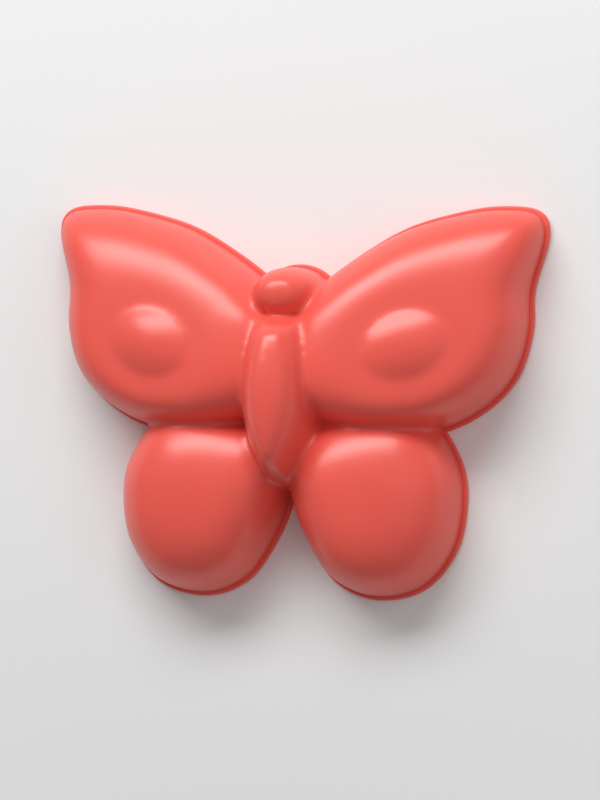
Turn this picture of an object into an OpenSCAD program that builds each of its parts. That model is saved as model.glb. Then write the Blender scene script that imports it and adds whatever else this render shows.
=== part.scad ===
// Butterfly sand mould: one thin moulded shell with an open back and a lip round its rim.
// It lies on its rim at z = 0, face up, with the head towards +Y.

/* [Overall] */
// Span of the upper wings over the rim lip
wing_span = 130; // [118:1:140]
// Length over the rim lip, from the top of the upper wings to the foot of the lower wings
mould_length = 100; // [92:1:101]
// Wall thickness of the shell
wall = 1.8; // [1.2:0.1:2.4]

/* [Rim] */
// Reach of the lip beyond the wall
lip_reach = 1; // [0.8:0.1:2]
// Thickness of the lip
lip_thickness = 1.6; // [1:0.1:2.5]

/* [Upper wings] */
// Length of an upper wing, head to tail
upper_length = 57; // [56:1:62]
// Height of the upper wings above the rim, beside the body
upper_height = 27; // [23:0.5:30]
// Fall of the upper wings from the body to the far corner at their tips
upper_fall = 13; // [6:0.5:16]
// Width over which the two upper wings run into each other, under the body
upper_overlap = 4; // [2:0.5:8]
// Width of an eye spot, across the wing
eye_width = 30; // [24:0.5:34]
// Length of an eye spot, head to tail
eye_length = 23; // [18:0.5:26]
// Rise of an eye spot above the crest of the wing
eye_rise = 2.1; // [1:0.1:4]

/* [Lower wings] */
// Span of the lower wings over the rim lip
lower_span = 91; // [80:1:98]
// Length of a lower wing, head to tail
lower_length = 48; // [47:1:52]
// Height of the lower wings above the rim
lower_height = 21; // [18:0.5:26]
// Width over which the two lower wings run into each other
lower_overlap = 1.6; // [0.8:0.2:4]

/* [Body and head] */
// Width of the body at the rim
body_width = 22; // [20:0.5:24]
// Length of the body
body_length = 44.5; // [40:0.5:47]
// Height of the body above the rim
body_height = 30; // [26:0.5:34]
// Fall of the body's spine from its middle to its two ends
body_fall = 5; // [2:0.5:8]
// Width of the head at the rim
head_width = 18.5; // [15:0.5:21]
// Length of the head
head_length = 15; // [13:0.5:17]
// Height of the head above the rim
head_height = 23; // [18:0.5:26]

/* [Hollow] */
// Width of the passage that joins the hollows of the wings under the body
passage_width = 28; // [24:1:30]
// Length of the passage
passage_length = 40; // [36:1:42]
// Height of the passage above the rim
passage_height = 10; // [7:0.5:11]

/* [Hidden] */

// Cuts run past the rim by this much
overrun = 1;

// Fullness of the domes: 2 is an ellipse, and more is squarer
upper_fullness = 2.6;
lower_fullness = 2.6;
body_fullness = 2.8;
head_fullness = 2.8;
passage_fullness = 3;

// Points to each stretch of an outline, points round a plain oval, and rings up a flank and an eye spot
stretch_points = 3;
oval_points = 32;
flank_rings = 8;
eye_rings = 5;

// Upper wing, anticlockwise from the notch at the tail side: shares of the wing's own box
upper_outline_shares = [
    [0.57, 0.03], [0.76, 0.12], [0.89, 0.27], [0.945, 0.47], [0.95, 0.66], [1.00, 0.88], [0.97, 0.98],
    [0.84, 1.00], [0.69, 0.98], [0.47, 0.91], [0.28, 0.79], [0.13, 0.66], [0.00, 0.48], [0.03, 0.14],
    [0.27, 0.02]
];

// Lower wing, anticlockwise from its outer side: shares of the wing's own box
lower_outline_shares = [
    [0.96, 0.72], [0.82, 0.92], [0.62, 1.00], [0.35, 0.98], [0.10, 0.88], [0.00, 0.70], [0.05, 0.47],
    [0.14, 0.27], [0.29, 0.08], [0.52, 0.00], [0.78, 0.06], [0.95, 0.26], [1.00, 0.52]
];

// Right side of the body from its tail to its neck: shares of half its width and of its length
body_side_shares = [
    [0.22, 0.012], [0.50, 0.09], [0.80, 0.25], [0.97, 0.44], [0.99, 0.62], [0.86, 0.82], [0.52, 0.96]
];

// Places of the eye spots and crests: shares of the box of the wing that carries them
eye_place_shares = [0.518, 0.39];
lower_crest_shares = [0.44, 0.47];

// Tail ends of the body, the head and the passage, as shares of the length from the foot
body_tail_share = 0.2825;
passage_tail_share = 0.34;
head_tail_share = 0.69;

// Share of the body's length that its spine takes
spine_share = 0.6;

// Walls stand inside the lip: the boxes that the wings' outlines fill, tail to head
half_length = mould_length / 2 - lip_reach;
upper_box = [
    [-upper_overlap / 2, half_length - upper_length],
    [wing_span / 2 - lip_reach, half_length]
];
lower_box = [
    [-lower_overlap / 2, -half_length],
    [lower_span / 2 - lip_reach, lower_length - half_length]
];

upper_outline = filling(closed_curve(upper_outline_shares, stretch_points), upper_box);
lower_outline = filling(closed_curve(lower_outline_shares, stretch_points), lower_box);
eye_place = place(eye_place_shares, upper_box);
lower_crest = place(lower_crest_shares, lower_box);

// Places and outlines of the body, the head and the passage, from the tail ends that the shares give
body_place = [0, (body_tail_share - 1 / 2) * mould_length + body_length / 2];
head_place = [0, (head_tail_share - 1 / 2) * mould_length + head_length / 2];
passage_place = [0, (passage_tail_share - 1 / 2) * mould_length + passage_length / 2];
body_corner = [body_width / 2, body_length / 2];
body_outline = filling(
    closed_curve(both_sides(body_side_shares), stretch_points),
    [body_place - body_corner, body_place + body_corner]
);
head_outline = oval(head_place, head_width, head_length);

// Point at share t of the stretch from b to c of a smooth curve through a, b, c and d
function smooth(a, b, c, d, t) =
    (2 * b + (c - a) * t + (2 * a - 5 * b + 4 * c - d) * t * t + (3 * b - a - 3 * c + d) * t * t * t) / 2;

// Smooth closed curve through the points, with n points to a stretch
function closed_curve(points, n) =
    let (count = len(points))
    [
        for (i = [0 : count - 1])
            for (k = [0 : n - 1])
                smooth(
                    points[(i + count - 1) % count], points[i],
                    points[(i + 1) % count], points[(i + 2) % count], k / n
                )
    ];

// The curve stretched so that it just fills the box
function filling(curve, box) =
    let (
        low = [for (k = [0, 1]) min([for (p = curve) p[k]])],
        high = [for (k = [0, 1]) max([for (p = curve) p[k]])]
    )
    [
        for (p = curve)
            place([for (k = [0, 1]) (p[k] - low[k]) / (high[k] - low[k])], box)
    ];

// The point at these shares of the box
function place(shares, box) =
    [for (k = [0, 1]) box[0][k] + shares[k] * (box[1][k] - box[0][k])];

// Points of the right side, then those of the left side in the opposite order
function both_sides(points) =
    concat(points, [for (i = [len(points) - 1 : -1 : 0]) [-points[i][0], points[i][1]]]);

function oval(middle, width, length) =
    [
        for (k = [0 : oval_points - 1])
            let (a = 360 * k / oval_points)
            middle + [width / 2 * cos(a), length / 2 * sin(a)]
    ];

// The anticlockwise outline moved outwards by a distance, or inwards where it is negative
function grown(outline, distance) =
    let (count = len(outline))
    [
        for (i = [0 : count - 1])
            let (along = outline[(i + 1) % count] - outline[(i + count - 1) % count])
            outline[i] + distance * [along[1], -along[0]] / norm(along)
    ];

// The outline drawn in towards a point, to a scale
function drawn_in(outline, middle, scale) = [for (p = outline) middle + scale * (p - middle)];

// The outline part of the way to another outline of as many points
function between(outline, other, share) =
    [for (i = [0 : len(outline) - 1]) outline[i] + share * (other[i] - outline[i])];

function at_height(outline, z) = [for (p = outline) [p[0], p[1], z]];

// Quarter of a rounded arch: how far each ring is drawn in, and how high it lies
function arch(fullness) =
    [
        for (k = [0 : flank_rings - 1])
            let (a = 90 * k / flank_rings)
            [pow(cos(a), 2 / fullness), pow(sin(a), 2 / fullness)]
    ];

// A straight foot below the rim for a cut, or none
function foot_rings(outline, foot) = foot > 0 ? [at_height(outline, -foot)] : [];

// Solid through the rings, closed flat below and by a point above
module loft(rings, top) {
    n = len(rings[0]);
    levels = len(rings);
    points = concat([for (ring = rings) each ring], [top]);
    bottom = [for (i = [0 : n - 1]) i];
    sides = [
        for (r = [0 : levels - 2])
            for (i = [0 : n - 1])
                let (a = r * n + i, b = r * n + (i + 1) % n)
                each [[a, a + n, b + n], [a, b + n, b]]
    ];
    crown = [
        for (i = [0 : n - 1])
            [(levels - 1) * n + i, levels * n, (levels - 1) * n + (i + 1) % n]
    ];
    polyhedron(points, concat([bottom], sides, crown));
}

module dome(outline, crest, height, fullness, foot) {
    rings = [
        for (step = arch(fullness))
            at_height(drawn_in(outline, crest, step[0]), height * step[1])
    ];
    loft(concat(foot_rings(outline, foot), rings), [crest[0], crest[1], height]);
}

// Upper wing: a broad dome that falls away from the body, with a raised eye spot on its top
module upper_wing(inset, foot) {
    outline = grown(upper_outline, -inset);
    eye = [
        for (p = outline)
            let (a = atan2((p[1] - eye_place[1]) * eye_width, (p[0] - eye_place[0]) * eye_length))
            eye_place + [eye_width / 2 * cos(a), eye_length / 2 * sin(a)]
    ];
    flank = [
        for (step = arch(upper_fullness))
            on_wing(between(eye, outline, step[0]), inset, step[1], 0)
    ];
    eye_mound = [
        for (k = [0 : eye_rings - 1])
            let (share = 1 - k / eye_rings)
            on_wing(drawn_in(eye, eye_place, share), inset, 1, eye_rise * (1 + cos(180 * share)) / 2)
    ];
    peak = on_wing([eye_place], inset, 1, eye_rise)[0];
    loft(concat(foot_rings(outline, foot), flank, eye_mound), peak);
}

// The ring at a share of the height of an upper wing, which falls away from the body, and a rise above that
function on_wing(ring, inset, share, rise) =
    [
        for (p = ring)
            let (away_share = norm(p - body_place) / norm(upper_box[1] - body_place))
            [p[0], p[1], share * (upper_height - away_share * upper_fall - inset) + rise]
    ];

// Body: a long dome with a spine that falls a little towards its two ends
module body(inset, foot) {
    outline = grown(body_outline, -inset);
    spine = [for (p = outline) body_place + [0, spine_share * (p[1] - body_place[1])]];
    rings = [
        for (step = arch(body_fullness))
            [
                for (p = between(spine, outline, step[0]))
                    let (end_share = (p[1] - body_place[1]) / (body_length / 2))
                    [p[0], p[1], step[1] * (body_height - inset - body_fall * pow(end_share, 2))]
            ]
    ];
    loft(concat(foot_rings(outline, foot), rings), [body_place[0], body_place[1], body_height - inset]);
}

// All the domes of the mould, or the hollow inside them where there is an inset
module domes(inset, foot) {
    for (side = [0, 1])
        mirror([side, 0, 0]) {
            upper_wing(inset, foot);
            dome(grown(lower_outline, -inset), lower_crest, lower_height - inset, lower_fullness, foot);
        }
    body(inset, foot);
    dome(grown(head_outline, -inset), head_place, head_height - inset, head_fullness, foot);
}

// The hollow runs through under the body, from wing to wing and up to the head
module passage() {
    outline = oval(passage_place, passage_width, passage_length);
    dome(outline, passage_place, passage_height, passage_fullness, overrun);
}

module lip() {
    for (side = [0, 1])
        mirror([side, 0, 0]) {
            lip_plate(upper_outline);
            lip_plate(lower_outline);
        }
    lip_plate(head_outline);
}

module lip_plate(outline) {
    linear_extrude(lip_thickness)
        polygon(grown(outline, lip_reach));
}

module mould_shell() {
    color([0.94, 0.37, 0.33])
        difference() {
            union() {
                domes(0, 0);
                lip();
            }
            domes(wall, overrun);
            passage();
        }
}

mould_shell();
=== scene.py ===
"""Butterfly sand mould: one smooth moulded shell, its satin plastic and a pale stage."""

import math

import bmesh
import bpy
import numpy as np
from mathutils import Matrix, Vector


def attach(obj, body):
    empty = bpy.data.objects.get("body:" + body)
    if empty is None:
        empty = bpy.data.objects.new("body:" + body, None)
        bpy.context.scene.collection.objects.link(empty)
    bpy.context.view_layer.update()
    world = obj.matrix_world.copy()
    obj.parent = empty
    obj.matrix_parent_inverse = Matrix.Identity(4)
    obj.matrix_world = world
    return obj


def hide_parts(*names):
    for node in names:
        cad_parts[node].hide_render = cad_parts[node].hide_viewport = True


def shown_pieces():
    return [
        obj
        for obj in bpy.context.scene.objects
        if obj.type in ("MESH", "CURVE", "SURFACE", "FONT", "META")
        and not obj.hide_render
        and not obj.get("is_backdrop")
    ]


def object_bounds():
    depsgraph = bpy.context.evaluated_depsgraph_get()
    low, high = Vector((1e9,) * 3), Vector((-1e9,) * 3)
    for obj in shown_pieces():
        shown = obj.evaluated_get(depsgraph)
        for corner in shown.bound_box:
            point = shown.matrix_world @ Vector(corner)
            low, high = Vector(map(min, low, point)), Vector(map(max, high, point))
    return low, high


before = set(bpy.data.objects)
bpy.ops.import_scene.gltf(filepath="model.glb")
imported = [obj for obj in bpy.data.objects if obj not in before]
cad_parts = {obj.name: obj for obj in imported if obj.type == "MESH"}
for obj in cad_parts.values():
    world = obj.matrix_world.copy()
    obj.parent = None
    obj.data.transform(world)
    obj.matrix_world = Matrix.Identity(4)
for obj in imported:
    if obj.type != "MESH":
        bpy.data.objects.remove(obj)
CAD_LOW, CAD_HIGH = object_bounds()

bl_info = {
    "name": "Butterfly Sand Mould",
    "version": (1, 0, 0),
    "blender": (4, 5, 0),
    "location": "View3D > Sidebar > Sand Mould",
    "description": "Builds a moulded butterfly sand mould and a pale stage round it",
    "category": "Object",
}

MM = 0.001
SHELL_NODE = "mould_shell"

# Upper wing, anticlockwise from the notch at the tail side, as shares of the wing's own box
UPPER_OUTLINE_SHARES = (
    (0.57, 0.03), (0.76, 0.12), (0.89, 0.27), (0.945, 0.47), (0.95, 0.66), (1.00, 0.88), (0.97, 0.98),
    (0.84, 1.00), (0.69, 0.98), (0.47, 0.91), (0.28, 0.79), (0.13, 0.66), (0.00, 0.48), (0.03, 0.14),
    (0.27, 0.02),
)

# Lower wing, anticlockwise from its outer side, as shares of the wing's own box
LOWER_OUTLINE_SHARES = (
    (0.96, 0.72), (0.82, 0.92), (0.62, 1.00), (0.35, 0.98), (0.10, 0.88), (0.00, 0.70), (0.05, 0.47),
    (0.14, 0.27), (0.29, 0.08), (0.52, 0.00), (0.78, 0.06), (0.95, 0.26), (1.00, 0.52),
)

# Right half of the body from its tail to its neck, as shares of half its width and of its length
BODY_HALF_SHARES = (
    (0.22, 0.012), (0.50, 0.09), (0.80, 0.25), (0.97, 0.44), (0.99, 0.62), (0.86, 0.82), (0.52, 0.96),
)

# Places on the wings, as shares of the box of the wing that carries them
EYE_PLACE_SHARES = (0.536, 0.382)
LOWER_CREST_SHARES = (0.44, 0.47)

# Size of an eye spot, as a share of the crest that carries it
EYE_SPOT_SHARE = 0.75

# Length of the body's spine, as a share of the body, and the last, narrow ring that keeps it smooth
SPINE_SHARE = 0.6
SPINE_RING_SHARES = (0.004, 1)

# Fullness of the domes: 2 is a round arch, and more gives a flatter top on a tighter shoulder
WING_FULLNESS = 2.6
BODY_FULLNESS = 2.4
HEAD_FULLNESS = 2.8
PASSAGE_FULLNESS = 3

# Points to a stretch of an outline or round an oval, rings up a dome or an eye spot, and steps of the lip
WING_STEPS = 12
BODY_STEPS = 10
HEAD_COLUMNS = 120
PASSAGE_COLUMNS = 96
DOME_RINGS = 34
EYE_RINGS = 16
LIP_SEGMENTS = 3

# Mesh: overrun of a cut, width of the tip of a dome of radius 1, and widths of slivers that are closed up
CUT_OVERRUN = 1 * MM
TIP_JOIN = 1e-4
SLIVER_WIDTH = 0.03 * MM
FLAT_SLIVER_WIDTH = 0.02 * MM

# Strength of a round of easing, fewest faces of a sound shell, and angle from which an edge is sharp
EASING_FACTOR = 0.5
FEWEST_FACES = 1000
SHARP_ANGLE = math.radians(50)

# Creases: rounds over which they spread, bend of the deepest, and shortest edge that counts
CREASE_ROUNDS = 10
DEEPEST_BEND = 0.10
SHORTEST_EDGE = 1e-9

# Plastic: clouds and grains to a metre, roughness, how far the clouds go to the darker tone, painted shade
# in the creases, and what the creases and the rim do to gloss
CLOUDS = 60.0
GRAINS = 2600.0
GRAIN_DEPTH = 0.05 * MM
ROUGHNESS = (0.285, 0.35)
CLOUD_TONE = 0.3
# Painted shade: how far the creases are darkened towards the deep colour
PAINTED_CREASE_SHADE = 0.5
CREASE_DULLING = 0.12
RIM_DULLING = 0.10
RIM_HEIGHTS = (1 * MM, 8 * MM)

# Floor: its size, and the distances over which it runs out to white
FLOOR_RADIUS = 6.0
FLOOR_SIDES = 96
FLOOR_FADE = (0.09, 0.42)
WHITE = (1, 1, 1, 1)


class MouldSizes(bpy.types.PropertyGroup):
    """Sizes of the mould and of its mesh"""

    span: bpy.props.FloatProperty(
        name="Span", description="Span of the upper wings over the rim lip",
        default=CAD_HIGH.x - CAD_LOW.x, unit="LENGTH")
    length: bpy.props.FloatProperty(
        name="Length", description="Length over the rim lip, head to tail",
        default=CAD_HIGH.y - CAD_LOW.y, unit="LENGTH")
    wall: bpy.props.FloatProperty(
        name="Wall", description="Wall thickness of the shell", default=1.8 * MM, unit="LENGTH")
    lip_reach: bpy.props.FloatProperty(
        name="Lip reach", description="Reach of the lip beyond the wall", default=1.0 * MM, unit="LENGTH")
    lip_thickness: bpy.props.FloatProperty(
        name="Lip thickness", description="Thickness of the lip", default=1.6 * MM, unit="LENGTH")
    lip_rounding: bpy.props.FloatProperty(
        name="Lip rounding", description="Radius on the edges of the lip", default=0.4 * MM, unit="LENGTH")
    upper_length: bpy.props.FloatProperty(
        name="Upper wing length", description="Length of an upper wing, head to tail",
        default=57 * MM, unit="LENGTH")
    upper_height: bpy.props.FloatProperty(
        name="Upper wing height", description="Height of the upper wings beside the body",
        default=27 * MM, unit="LENGTH")
    upper_fall: bpy.props.FloatProperty(
        name="Upper wing fall", description="Fall of the upper wings from the body to their tips",
        default=13 * MM, unit="LENGTH")
    upper_overlap: bpy.props.FloatProperty(
        name="Upper wing overlap", description="Width over which the upper wings run into each other",
        default=4 * MM, unit="LENGTH")
    crest_width: bpy.props.FloatProperty(
        name="Crest width", description="Width of an upper wing's oval crest, which carries the eye spot",
        default=30 * MM, unit="LENGTH")
    crest_length: bpy.props.FloatProperty(
        name="Crest length", description="Length of an upper wing's oval crest, across its width",
        default=23 * MM, unit="LENGTH")
    eye_turn: bpy.props.FloatProperty(
        name="Eye spot turn", description="Angle at which an eye spot rises towards the tip of the wing",
        default=math.radians(20), subtype="ANGLE")
    eye_rise: bpy.props.FloatProperty(
        name="Eye spot rise", description="Rise of an eye spot above the crest of the wing",
        default=2.4 * MM, unit="LENGTH")
    lower_span: bpy.props.FloatProperty(
        name="Lower wing span", description="Span of the lower wings over the rim lip",
        default=91 * MM, unit="LENGTH")
    lower_length: bpy.props.FloatProperty(
        name="Lower wing length", description="Length of a lower wing, head to tail",
        default=48 * MM, unit="LENGTH")
    lower_height: bpy.props.FloatProperty(
        name="Lower wing height", description="Height of the lower wings above the rim",
        default=21 * MM, unit="LENGTH")
    lower_overlap: bpy.props.FloatProperty(
        name="Lower wing overlap", description="Width over which the lower wings run into each other",
        default=1.6 * MM, unit="LENGTH")
    body_place: bpy.props.FloatProperty(
        name="Body place", description="Place of the body's middle, from the mould's to the head",
        default=0.5 * MM, unit="LENGTH")
    body_width: bpy.props.FloatProperty(
        name="Body width", description="Width of the body at the rim", default=22 * MM, unit="LENGTH")
    body_length: bpy.props.FloatProperty(
        name="Body length", description="Length of the body", default=44.5 * MM, unit="LENGTH")
    body_height: bpy.props.FloatProperty(
        name="Body height", description="Height of the body above the rim",
        default=CAD_HIGH.z - CAD_LOW.z, unit="LENGTH")
    body_fall: bpy.props.FloatProperty(
        name="Body fall", description="Fall of the body's spine towards its two ends",
        default=5 * MM, unit="LENGTH")
    head_place: bpy.props.FloatProperty(
        name="Head place", description="Place of the head's middle, from the mould's",
        default=26.5 * MM, unit="LENGTH")
    head_width: bpy.props.FloatProperty(
        name="Head width", description="Width of the head at the rim", default=18.5 * MM, unit="LENGTH")
    head_length: bpy.props.FloatProperty(
        name="Head length", description="Length of the head", default=15 * MM, unit="LENGTH")
    head_height: bpy.props.FloatProperty(
        name="Head height", description="Height of the head above the rim",
        default=23 * MM, unit="LENGTH")
    passage_place: bpy.props.FloatProperty(
        name="Passage place", description="Place of the passage's middle, from the mould's to the head",
        default=4 * MM, unit="LENGTH")
    passage_width: bpy.props.FloatProperty(
        name="Passage width", description="Width of the passage under the body",
        default=28 * MM, unit="LENGTH")
    passage_length: bpy.props.FloatProperty(
        name="Passage length", description="Length of the passage under the body",
        default=40 * MM, unit="LENGTH")
    passage_height: bpy.props.FloatProperty(
        name="Passage height", description="Height of the passage above the rim",
        default=10 * MM, unit="LENGTH")
    mesh_step: bpy.props.FloatProperty(
        name="Mesh step", description="Size of the faces of the smooth shell",
        default=0.62 * MM, unit="LENGTH")
    hollow_step: bpy.props.FloatProperty(
        name="Hollow mesh step", description="Size of the faces of the hollow",
        default=0.90 * MM, unit="LENGTH")
    easing: bpy.props.IntProperty(
        name="Easing", description="Rounds of smoothing that round off the creases", default=30, min=0)


class MouldColours(bpy.types.PropertyGroup):
    """Colours of the plastic and the floor"""

    plastic: bpy.props.FloatVectorProperty(
        name="Plastic", description="Colour of the plastic", subtype="COLOR", size=3,
        default=(0.90, 0.112, 0.082), min=0, max=1)
    # Darker colour: the mottling goes towards it at random, and the creases go towards it as painted shade
    deep_and_crease_shade: bpy.props.FloatVectorProperty(
        name="Deep plastic", description="Colour of the plastic in the creases", subtype="COLOR", size=3,
        default=(0.78, 0.078, 0.058), min=0, max=1)
    floor: bpy.props.FloatVectorProperty(
        name="Floor", description="Colour of the floor", subtype="COLOR", size=3,
        default=(0.86, 0.86, 0.86), min=0, max=1)


class MouldView(bpy.types.PropertyGroup):
    """Light and camera of the stage"""

    sky: bpy.props.FloatProperty(
        name="Sky", description="Strength of the even light from all round", default=0.27, min=0)
    key: bpy.props.FloatProperty(
        name="Key lamp", description="Power of the long lamp beyond the head",
        default=7.6, unit="POWER")
    fill: bpy.props.FloatProperty(
        name="Fill lamp", description="Power of the wide lamp at the right",
        default=1.3, unit="POWER")
    under: bpy.props.FloatProperty(
        name="Under lamp", description="Power of the small lamp under the hollow",
        default=0.02, unit="POWER")
    yaw: bpy.props.FloatProperty(
        name="Yaw", description="How far the camera stands to the right",
        default=math.radians(16.7), subtype="ANGLE")
    pitch: bpy.props.FloatProperty(
        name="Pitch", description="How far the camera stands towards the head",
        default=math.radians(-2.0), subtype="ANGLE")
    roll: bpy.props.FloatProperty(
        name="Roll", description="How far the camera is turned about its own axis",
        default=math.radians(1.5), subtype="ANGLE")
    distance: bpy.props.FloatProperty(
        name="Distance", description="Distance of the camera from what it looks at",
        default=1.12, unit="LENGTH")
    aim: bpy.props.FloatVectorProperty(
        name="Aim", description="Point that the camera looks at", size=3, subtype="XYZ", unit="LENGTH",
        default=(4 * MM, 0, 12 * MM))
    lens: bpy.props.FloatProperty(
        name="Lens", description="Focal length of the camera, in millimetres",
        default=200, unit="CAMERA")


# Outlines in the plane of the rim

def closed_curve(points, steps):
    """A smooth closed curve through the points, with that many steps to a stretch."""
    here = np.array(points, float)[:, None, :]
    before = np.roll(here, 1, 0)
    after = np.roll(here, -1, 0)
    beyond = np.roll(here, -2, 0)
    share = (np.arange(steps) / steps)[None, :, None]
    curve = (
        2 * here
        + (after - before) * share
        + (2 * before - 5 * here + 4 * after - beyond) * share**2
        + (3 * here - before - 3 * after + beyond) * share**3
    ) / 2
    return curve.reshape(-1, 2)


def placed(shares, low, high):
    """Places given as shares of a box."""
    return np.array(low) + np.array(shares) * (np.array(high) - np.array(low))


def filling(curve, low, high):
    """The curve stretched so that it just fills the box."""
    return placed((curve - curve.min(0)) / (curve.max(0) - curve.min(0)), low, high)


def oval(width, length, turn):
    """Points of an oval round the origin, one for each turn."""
    return np.stack([width / 2 * np.cos(turn), length / 2 * np.sin(turn)], 1)


def even_turns(columns):
    """Evenly spaced turns once round."""
    return np.arange(columns) / columns * math.tau


def grown(outline, distance):
    """The anticlockwise outline moved outwards, or inwards where the distance is negative."""
    along = np.roll(outline, -1, 0) - np.roll(outline, 1, 0)
    outward = np.stack([along[:, 1], -along[:, 0]], 1) / np.linalg.norm(along, axis=1)[:, None]
    return outline + distance * outward


def at_height(outline, height):
    """The outline with a height, one for all its points or one for each."""
    return np.column_stack([outline, np.broadcast_to(height, len(outline))])


class Plan:
    """The outlines and places of the mould, worked out from its sizes."""

    def __init__(self, sizes):
        self.sizes = sizes
        wing_end = sizes.length / 2 - sizes.lip_reach
        upper_low = (-sizes.upper_overlap / 2, wing_end - sizes.upper_length)
        upper_high = (sizes.span / 2 - sizes.lip_reach, wing_end)
        self.upper = filling(closed_curve(UPPER_OUTLINE_SHARES, WING_STEPS), upper_low, upper_high)
        self.upper_corner = np.array(upper_high)
        self.eye = placed(EYE_PLACE_SHARES, upper_low, upper_high)
        lower_low = (-sizes.lower_overlap / 2, -wing_end)
        lower_high = (sizes.lower_span / 2 - sizes.lip_reach, sizes.lower_length - wing_end)
        self.lower = filling(closed_curve(LOWER_OUTLINE_SHARES, WING_STEPS), lower_low, lower_high)
        self.lower_crest = placed(LOWER_CREST_SHARES, lower_low, lower_high)
        left_half = [(-across, along) for across, along in reversed(BODY_HALF_SHARES)]
        body_curve = closed_curve([*BODY_HALF_SHARES, *left_half], BODY_STEPS)
        body_half = np.array((sizes.body_width, sizes.body_length)) / 2
        self.body_middle = np.array((0, sizes.body_place))
        self.body = filling(body_curve, self.body_middle - body_half, self.body_middle + body_half)
        self.head_middle = np.array((0, sizes.head_place))
        head_turns = even_turns(HEAD_COLUMNS)
        self.head = self.head_middle + oval(sizes.head_width, sizes.head_length, head_turns)
        self.passage_middle = np.array((0, sizes.passage_place))
        passage_turns = even_turns(PASSAGE_COLUMNS)
        self.passage = self.passage_middle + oval(sizes.passage_width, sizes.passage_length, passage_turns)


# Rounded domes and flat plates that stand on the outlines

def arch(fullness):
    """Rings of a rounded arch: for each, how far it is drawn in and how high it lies."""
    turn = np.arange(DOME_RINGS) / DOME_RINGS * math.pi / 2
    return list(zip(np.cos(turn)**(2 / fullness), np.sin(turn)**(2 / fullness)))


def dome_solid(rings, crest, foot):
    """A spun quarter arc whose rings take the given places, closed below, on a foot where asked."""
    levels = len(rings)
    columns = len(rings[0])
    level_turn = math.pi / 2 / levels
    bm = bmesh.new()
    arc = [level * level_turn for level in range(levels + 1)]
    line = [bm.verts.new((math.cos(turn), 0, math.sin(turn))) for turn in arc]
    edges = [bm.edges.new(pair) for pair in zip(line, line[1:])]
    bmesh.ops.spin(
        bm, geom=line + edges, cent=(0, 0, 0), axis=(0, 0, 1),
        angle=math.tau, steps=columns, use_merge=True)
    below_tip = math.sin((arc[-1] + arc[-2]) / 2)
    bmesh.ops.remove_doubles(bm, verts=[v for v in bm.verts if v.co.z > below_tip], dist=TIP_JOIN)
    for v in bm.verts:
        level = round(math.asin(min(1, max(0, v.co.z))) / level_turn)
        column = round(math.atan2(v.co.y, v.co.x) / math.tau * columns) % columns
        v.co = crest if level == levels else rings[level][column]
    rim = [e for e in bm.edges if e.is_boundary]
    base = bmesh.ops.contextual_create(bm, geom=rim)["faces"]
    if foot > 0:
        made = bmesh.ops.extrude_face_region(bm, geom=base)["geom"]
        moved = [g for g in made if isinstance(g, bmesh.types.BMVert)]
        bmesh.ops.translate(bm, verts=moved, vec=(0, 0, -foot))
        bmesh.ops.delete(bm, geom=base, context="FACES_ONLY")
    bmesh.ops.recalc_face_normals(bm, faces=bm.faces)
    return bm


def plate_solid(outline, thickness, rounding):
    """A flat plate on the plane of the rim, with its edges rounded."""
    bm = bmesh.new()
    corners = [bm.verts.new((x, y, 0)) for x, y in outline]
    face = bm.faces.new(corners)
    made = bmesh.ops.extrude_face_region(bm, geom=[face], use_keep_orig=True)["geom"]
    moved = [g for g in made if isinstance(g, bmesh.types.BMVert)]
    bmesh.ops.translate(bm, verts=moved, vec=(0, 0, thickness))
    bmesh.ops.recalc_face_normals(bm, faces=bm.faces)
    level = [e for e in bm.edges if e.verts[0].co.z == e.verts[1].co.z]
    bmesh.ops.bevel(
        bm, geom=level, offset=rounding, offset_type="OFFSET", affect="EDGES",
        segments=LIP_SEGMENTS, profile=0.5, material=-1)
    return bm


def on_side(solid, side):
    """The solid as it is for side 1, or its mirror image for side -1."""
    bmesh.ops.scale(solid, vec=(side, 1, 1), verts=solid.verts)
    bmesh.ops.recalc_face_normals(solid, faces=solid.faces)
    return solid


def upper_wing(plan, inset, foot):
    """An upper wing: a broad dome that falls away from the body, with a raised eye spot on its crest."""
    sizes = plan.sizes
    outline = grown(plan.upper, -inset)
    slant = np.array(Matrix.Rotation(sizes.eye_turn, 2))
    from_eye = (outline - plan.eye) @ slant
    turn = np.arctan2(from_eye[:, 1] * sizes.crest_width, from_eye[:, 0] * sizes.crest_length)
    crest = plan.eye + oval(sizes.crest_width, sizes.crest_length, turn) @ slant.T
    reach = np.linalg.norm(plan.upper_corner - plan.body_middle)

    def on_wing(ring, share, lift):
        away = np.linalg.norm(ring - plan.body_middle, axis=1) / reach
        return at_height(ring, share * (sizes.upper_height - away * sizes.upper_fall - inset) + lift)

    rings = [
        on_wing(crest + drawn * (outline - crest), share, 0)
        for drawn, share in arch(WING_FULLNESS)
    ]
    for scale in np.linspace(1, 0, EYE_RINGS + 1)[:-1]:
        lift = sizes.eye_rise * max(0, 1 - (scale / EYE_SPOT_SHARE)**2)
        rings.append(on_wing(plan.eye + scale * (crest - plan.eye), 1, lift))
    peak = on_wing(plan.eye[None, :], 1, sizes.eye_rise)[0]
    return dome_solid(rings, peak, foot)


def plain_dome(outline, crest, height, fullness, foot):
    """A dome drawn in evenly to its crest."""
    rings = [
        at_height(crest + drawn * (outline - crest), height * share)
        for drawn, share in arch(fullness)
    ]
    return dome_solid(rings, (*crest, height), foot)


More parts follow.
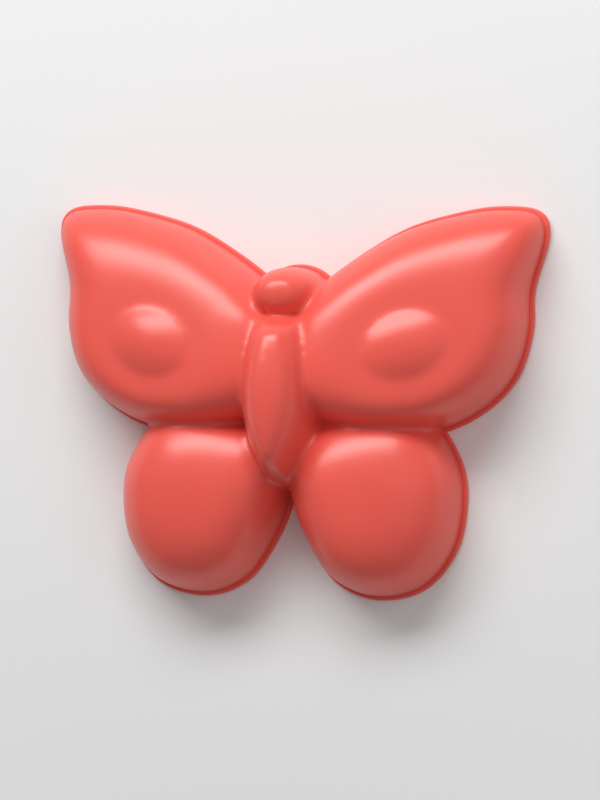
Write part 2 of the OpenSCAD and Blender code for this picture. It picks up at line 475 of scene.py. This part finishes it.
def body_dome(plan, inset, foot):
    """The body: a long dome with a spine that falls a little towards its two ends."""
    sizes = plan.sizes
    outline = grown(plan.body, -inset)
    spine = plan.body_middle + (outline - plan.body_middle) * np.array((0, SPINE_SHARE))
    rings = []
    for drawn, share in [*arch(BODY_FULLNESS), SPINE_RING_SHARES]:
        ring = spine + drawn * (outline - spine)
        end_share = (ring[:, 1] - plan.body_middle[1]) / (sizes.body_length / 2)
        rings.append(at_height(ring, share * (sizes.body_height - sizes.body_fall * end_share**2 - inset)))
    return dome_solid(rings, (*plan.body_middle, sizes.body_height - inset), foot)


def domes(plan, inset, foot):
    """All the domes of the mould, or of the hollow inside them where there is an inset."""
    sizes = plan.sizes
    lower = grown(plan.lower, -inset)
    lower_height = sizes.lower_height - inset
    head = grown(plan.head, -inset)
    head_height = sizes.head_height - inset
    made = []
    for side in (1, -1):
        lower_wing = plain_dome(lower, plan.lower_crest, lower_height, WING_FULLNESS, foot)
        made.append(on_side(upper_wing(plan, inset, foot), side))
        made.append(on_side(lower_wing, side))
    made.append(body_dome(plan, inset, foot))
    made.append(plain_dome(head, plan.head_middle, head_height, HEAD_FULLNESS, foot))
    return made


def lip_plates(plan):
    """Flat plates under the domes, which leave the lip all round."""
    sizes = plan.sizes

    def plate(outline):
        return plate_solid(grown(outline, sizes.lip_reach), sizes.lip_thickness, sizes.lip_rounding)

    wings = [on_side(plate(outline), side) for outline in (plan.upper, plan.lower) for side in (1, -1)]
    return [*wings, plate(plan.head)]


# From domes to one shell

def scene_object(name, data):
    """A new object in the scene for a mesh, a lamp or a camera."""
    made = bpy.data.objects.new(name, data)
    bpy.context.scene.collection.objects.link(made)
    return made


def solid_object(name, solid):
    """A new object for the solid, which is used up."""
    mesh = bpy.data.meshes.new(name)
    solid.to_mesh(mesh)
    solid.free()
    return scene_object(name, mesh)


def apply_modifiers(made):
    """Give the object the mesh that its modifiers make, and clear them."""
    depsgraph = bpy.context.evaluated_depsgraph_get()
    mesh = bpy.data.meshes.new_from_object(made.evaluated_get(depsgraph), depsgraph=depsgraph)
    old = made.data
    made.modifiers.clear()
    made.data = mesh
    bpy.data.meshes.remove(old)


def remove_object(made):
    """Take the object and its mesh out of the scene."""
    mesh = made.data
    bpy.data.objects.remove(made)
    bpy.data.meshes.remove(mesh)


def combine(made, other, operation):
    """Add the other object to this one or cut it out of this one, and use it up."""
    cut = made.modifiers.new("cut", "BOOLEAN")
    cut.operation = operation
    cut.solver = "MANIFOLD"
    cut.object = other
    apply_modifiers(made)
    remove_object(other)


def united(name, solids):
    """One object round overlapping solids."""
    whole = solid_object(name, solids[0])
    for solid in solids[1:]:
        combine(whole, solid_object(name, solid), "UNION")
    return whole


def one_skin(name, solids, step, rounds):
    """An even skin of small faces on the outside of overlapping solids, with the creases eased off."""
    exact = united(name, solids)
    skin = scene_object(name, exact.data.copy())
    melt = skin.modifiers.new("melt", "REMESH")
    melt.mode = "VOXEL"
    melt.voxel_size = step
    melt.adaptivity = 0
    snap = skin.modifiers.new("snap", "SHRINKWRAP")
    snap.wrap_method = "NEAREST_SURFACEPOINT"
    snap.target = exact
    ease = skin.modifiers.new("ease", "SMOOTH")
    ease.factor = EASING_FACTOR
    ease.iterations = rounds
    apply_modifiers(skin)
    remove_object(exact)
    return skin


def clean(mesh):
    """Close the slivers and drop the stray points that the cuts leave, and split the wide faces."""
    bm = bmesh.new()
    bm.from_mesh(mesh)
    bmesh.ops.remove_doubles(bm, verts=bm.verts, dist=SLIVER_WIDTH)
    bmesh.ops.dissolve_degenerate(bm, edges=bm.edges, dist=FLAT_SLIVER_WIDTH)
    bmesh.ops.dissolve_verts(bm, verts=[v for v in bm.verts if len(v.link_edges) == 2])
    bmesh.ops.triangulate(bm, faces=[f for f in bm.faces if len(f.verts) > 4])
    bm.to_mesh(mesh)
    bm.free()


def mark(mesh, name, values):
    """Give the mesh one number for each of its points, for its material to read."""
    attribute = mesh.attributes.new(name, "FLOAT", "POINT")
    attribute.data.foreach_set("value", np.ascontiguousarray(values, np.float32))


def crease_shares(mesh):
    """How far each point lies in a crease, from 0 on open surfaces to 1 in the deepest."""
    count = len(mesh.vertices)
    place = np.empty(count * 3, np.float32)
    mesh.vertices.foreach_get("co", place)
    place = place.reshape(-1, 3)
    normal = np.empty(count * 3, np.float32)
    mesh.vertex_normals.foreach_get("vector", normal)
    normal = normal.reshape(-1, 3)
    ends = np.empty(len(mesh.edges) * 2, np.int32)
    mesh.edges.foreach_get("vertices", ends)
    start, end = ends.reshape(-1, 2).T
    along = place[end] - place[start]
    along /= np.maximum(np.linalg.norm(along, axis=1), SHORTEST_EDGE)[:, None]
    edges_at = np.maximum(np.bincount(start, minlength=count) + np.bincount(end, minlength=count), 1)

    def gathered(at_start, at_end):
        return np.bincount(start, at_start, count) + np.bincount(end, at_end, count)

    bend = gathered((along * normal[start]).sum(1), -(along * normal[end]).sum(1)) / edges_at
    for _ in range(CREASE_ROUNDS):
        bend = (bend + gathered(bend[end], bend[start]) / edges_at) / 2
    return np.clip(bend / DEEPEST_BEND, 0, 1)


# Materials

class Nodes:
    """A few words for wiring a node tree."""

    def __init__(self, tree):
        self.tree = tree
        tree.nodes.clear()

    def add(self, kind, inputs=None, **settings):
        node = self.tree.nodes.new(kind)
        for name, value in settings.items():
            setattr(node, name, value)
        for name, value in (inputs or {}).items():
            self.put(node.inputs[name], value)
        return node

    def put(self, socket, value):
        if isinstance(value, bpy.types.NodeSocket):
            self.tree.links.new(value, socket)
        else:
            socket.default_value = value

    def spread(self, value, span, result, curve):
        low, high = span
        first, last = result
        return self.add("ShaderNodeMapRange", {
            "Value": value, "From Min": low, "From Max": high, "To Min": first, "To Max": last},
            interpolation_type=curve).outputs["Result"]

    def sum(self, first, second):
        return self.add("ShaderNodeMath", {0: first, 1: second}, operation="ADD").outputs["Value"]


def plastic_material(colours):
    """Satin plastic, moulded in colour: faint mottling, a fine grain, painted shade in the creases, and
    duller creases and rim.
    """
    material = bpy.data.materials.new("satin_red_plastic")
    material.use_nodes = True
    net = Nodes(material.node_tree)
    place = net.add("ShaderNodeTexCoord").outputs["Object"]
    height = net.add("ShaderNodeSeparateXYZ", {"Vector": place}).outputs["Z"]
    crease = net.add("ShaderNodeAttribute", attribute_name="crease").outputs["Fac"]
    cloud = net.add("ShaderNodeTexNoise", {
        "Vector": place, "Scale": CLOUDS, "Detail": 1.0, "Roughness": 0.4}).outputs["Fac"]
    grain = net.add("ShaderNodeTexNoise", {"Vector": place, "Scale": GRAINS, "Detail": 2.0}).outputs["Fac"]

    def soft(value, first, last, span=(0, 1)):
        return net.spread(value, span, (first, last), "SMOOTHERSTEP")

    # Towards the darker colour: faint random mottling, plus painted shade in the creases
    tone = net.sum(soft(cloud, 0, CLOUD_TONE), soft(crease, 0, PAINTED_CREASE_SHADE))
    colour = net.add("ShaderNodeMix", data_type="RGBA")
    net.put(colour.inputs["Factor"], tone)
    net.put(colour.inputs["A"], (*colours.plastic, 1))
    net.put(colour.inputs["B"], (*colours.deep_and_crease_shade, 1))
    dulling = net.sum(soft(crease, 0, CREASE_DULLING), soft(height, RIM_DULLING, 0, RIM_HEIGHTS))
    roughness = net.sum(soft(cloud, *ROUGHNESS), dulling)
    bump = net.add("ShaderNodeBump", {"Height": grain, "Strength": 0.12, "Distance": GRAIN_DEPTH})
    shader = net.add("ShaderNodeBsdfPrincipled", {
        "Base Color": colour.outputs["Result"], "Roughness": roughness,
        "Normal": bump.outputs["Normal"], "IOR": 1.57,
        "Subsurface Weight": 0.08, "Subsurface Radius": (1.0, 0.35, 0.25), "Subsurface Scale": 1.5 * MM})
    net.add("ShaderNodeOutputMaterial", {"Surface": shader.outputs["BSDF"]})
    return material


def floor_material(colours):
    """Pale matt floor that runs out to white, and is clear from below."""
    material = bpy.data.materials.new("pale_floor")
    material.use_nodes = True
    net = Nodes(material.node_tree)
    place = net.add("ShaderNodeTexCoord").outputs["Object"]
    away = net.add("ShaderNodeVectorMath", {0: place}, operation="LENGTH").outputs["Value"]
    fade = net.spread(away, FLOOR_FADE, (0, 1), "SMOOTHSTEP")
    light = net.add("ShaderNodeLightPath").outputs
    seen = net.add("ShaderNodeMath", {
        0: light["Is Camera Ray"], 1: light["Is Glossy Ray"]}, operation="MAXIMUM").outputs["Value"]
    whiten = net.add("ShaderNodeMath", {0: fade, 1: seen}, operation="MULTIPLY").outputs["Value"]
    matt = net.add("ShaderNodeBsdfDiffuse", {"Color": (*colours.floor, 1)}).outputs["BSDF"]
    white = net.add("ShaderNodeEmission", {"Color": WHITE, "Strength": 1.0}).outputs["Emission"]
    above = net.add("ShaderNodeMixShader", {0: whiten, 1: matt, 2: white}).outputs["Shader"]
    clear = net.add("ShaderNodeBsdfTransparent").outputs["BSDF"]
    behind = net.add("ShaderNodeNewGeometry").outputs["Backfacing"]
    both = net.add("ShaderNodeMixShader", {0: behind, 1: above, 2: clear}).outputs["Shader"]
    net.add("ShaderNodeOutputMaterial", {"Surface": both})
    return material


def studio_world(strength):
    """Even white light from all round, seen as white."""
    world = bpy.data.worlds.new("studio")
    world.use_nodes = True
    net = Nodes(world.node_tree)
    soft = net.add("ShaderNodeBackground", {"Color": WHITE, "Strength": strength}).outputs["Background"]
    white = net.add("ShaderNodeBackground", {"Color": WHITE, "Strength": 1.0}).outputs["Background"]
    seen = net.add("ShaderNodeLightPath").outputs["Is Camera Ray"]
    both = net.add("ShaderNodeMixShader", {0: seen, 1: soft, 2: white}).outputs["Shader"]
    net.add("ShaderNodeOutputWorld", {"Surface": both})
    return world


class SANDMOULD_OT_shell(bpy.types.Operator):
    """Make the moulded shell, which stands for the CAD solid"""

    bl_idname = "sandmould.shell"
    bl_label = "Make Shell"

    def execute(self, context):
        sizes = context.scene.mould_sizes
        plan = Plan(sizes)
        passage = plain_dome(
            plan.passage, plan.passage_middle, sizes.passage_height, PASSAGE_FULLNESS, CUT_OVERRUN)
        hollow = [*domes(plan, sizes.wall, CUT_OVERRUN), passage]
        shell = one_skin("shell", domes(plan, 0, 0), sizes.mesh_step, sizes.easing)
        combine(shell, united("lip", lip_plates(plan)), "UNION")
        combine(shell, one_skin("hollow", hollow, sizes.hollow_step, sizes.easing), "DIFFERENCE")
        mesh = shell.data
        clean(mesh)
        if len(mesh.polygons) < FEWEST_FACES:
            raise RuntimeError("the hollow was not cut")
        mesh.polygons.foreach_set("use_smooth", np.ones(len(mesh.polygons), bool))
        mesh.set_sharp_from_angle(angle=SHARP_ANGLE)
        # How far each point lies in a crease: the material darkens it as painted shade and dulls its gloss
        mark(mesh, "crease", crease_shares(mesh))
        mesh.materials.clear()
        mesh.materials.append(plastic_material(context.scene.mould_colours))
        shell.name = "moulded_shell"
        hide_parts(SHELL_NODE)
        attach(shell, "root")
        return {"FINISHED"}


def soft_lamp(name, watts, size, place, aim):
    """A flat lamp at a place, turned to its aim."""
    lamp = bpy.data.lights.new(name, "AREA")
    lamp.shape = "RECTANGLE"
    lamp.size, lamp.size_y = size
    lamp.energy = watts
    made = scene_object(name, lamp)
    back = (Vector(place) - Vector(aim)).normalized()
    made.matrix_world = Matrix.Translation(place) @ back.to_track_quat("Z", "Y").to_matrix().to_4x4()
    return made


class SANDMOULD_OT_stage(bpy.types.Operator):
    """Make the floor, the light and the camera"""

    bl_idname = "sandmould.stage"
    bl_label = "Make Stage"

    def execute(self, context):
        view = context.scene.mould_view
        self.floor(context.scene.mould_colours)
        context.scene.world = studio_world(view.sky)
        self.lamps(view)
        context.scene.camera = self.camera(view)
        context.scene.view_settings.view_transform = "Standard"
        return {"FINISHED"}

    def floor(self, colours):
        bm = bmesh.new()
        bmesh.ops.create_circle(bm, cap_ends=True, segments=FLOOR_SIDES, radius=FLOOR_RADIUS)
        floor = solid_object("floor", bm)
        floor.data.materials.append(floor_material(colours))
        floor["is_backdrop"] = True

    def lamps(self, view):
        soft_lamp(
            "key_lamp", watts=view.key, size=(1.00, 0.32), place=(-0.17, 0.66, 0.57), aim=(0, 0, 0))
        fill = soft_lamp(
            "fill_lamp", watts=view.fill, size=(0.8, 0.8), place=(0.55, 0.10, 0.60), aim=(0, 0, 0))
        fill.visible_glossy = False
        under = soft_lamp(
            "under_lamp", watts=view.under, size=(0.05, 0.03),
            place=(0, 6 * MM, -30 * MM), aim=(0, 6 * MM, 0))
        lit = bpy.data.collections.new("lit_from_below")
        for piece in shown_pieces():
            lit.objects.link(piece)
        under.light_linking.blocker_collection = lit

    def camera(self, view):
        flat = math.cos(view.pitch)
        back = Vector((math.sin(view.yaw) * flat, math.sin(view.pitch), math.cos(view.yaw) * flat))
        right = Vector((math.cos(view.yaw), 0, -math.sin(view.yaw)))
        up = back.cross(right)
        across = math.cos(view.roll) * right + math.sin(view.roll) * up
        upward = math.cos(view.roll) * up - math.sin(view.roll) * right
        lens = bpy.data.cameras.new("camera")
        lens.lens = view.lens
        camera = scene_object("camera", lens)
        turn = Matrix((across, upward, back)).transposed().to_4x4()
        camera.matrix_world = Matrix.Translation(Vector(view.aim) + back * view.distance) @ turn
        return camera


class SANDMOULD_PT_panel(bpy.types.Panel):
    """The mould's sizes, its colours, its view and what makes it"""

    bl_idname = "SANDMOULD_PT_panel"
    bl_label = "Sand Mould"
    bl_space_type = "VIEW_3D"
    bl_region_type = "UI"
    bl_category = "Sand Mould"

    def draw(self, context):
        scene = context.scene
        for group in (scene.mould_sizes, scene.mould_colours, scene.mould_view):
            column = self.layout.column()
            for name in group.__annotations__:
                column.prop(group, name)
        self.layout.operator(SANDMOULD_OT_shell.bl_idname)
        self.layout.operator(SANDMOULD_OT_stage.bl_idname)


CLASSES = (MouldSizes, MouldColours, MouldView, SANDMOULD_OT_shell, SANDMOULD_OT_stage, SANDMOULD_PT_panel)


def register():
    for made in CLASSES:
        bpy.utils.register_class(made)
    bpy.types.Scene.mould_sizes = bpy.props.PointerProperty(type=MouldSizes)
    bpy.types.Scene.mould_colours = bpy.props.PointerProperty(type=MouldColours)
    bpy.types.Scene.mould_view = bpy.props.PointerProperty(type=MouldView)


def unregister():
    del bpy.types.Scene.mould_view
    del bpy.types.Scene.mould_colours
    del bpy.types.Scene.mould_sizes
    for made in reversed(CLASSES):
        bpy.utils.unregister_class(made)


def main():
    register()
    bpy.ops.sandmould.shell()
    bpy.ops.sandmould.stage()


if __name__ == "__main__":
    main()
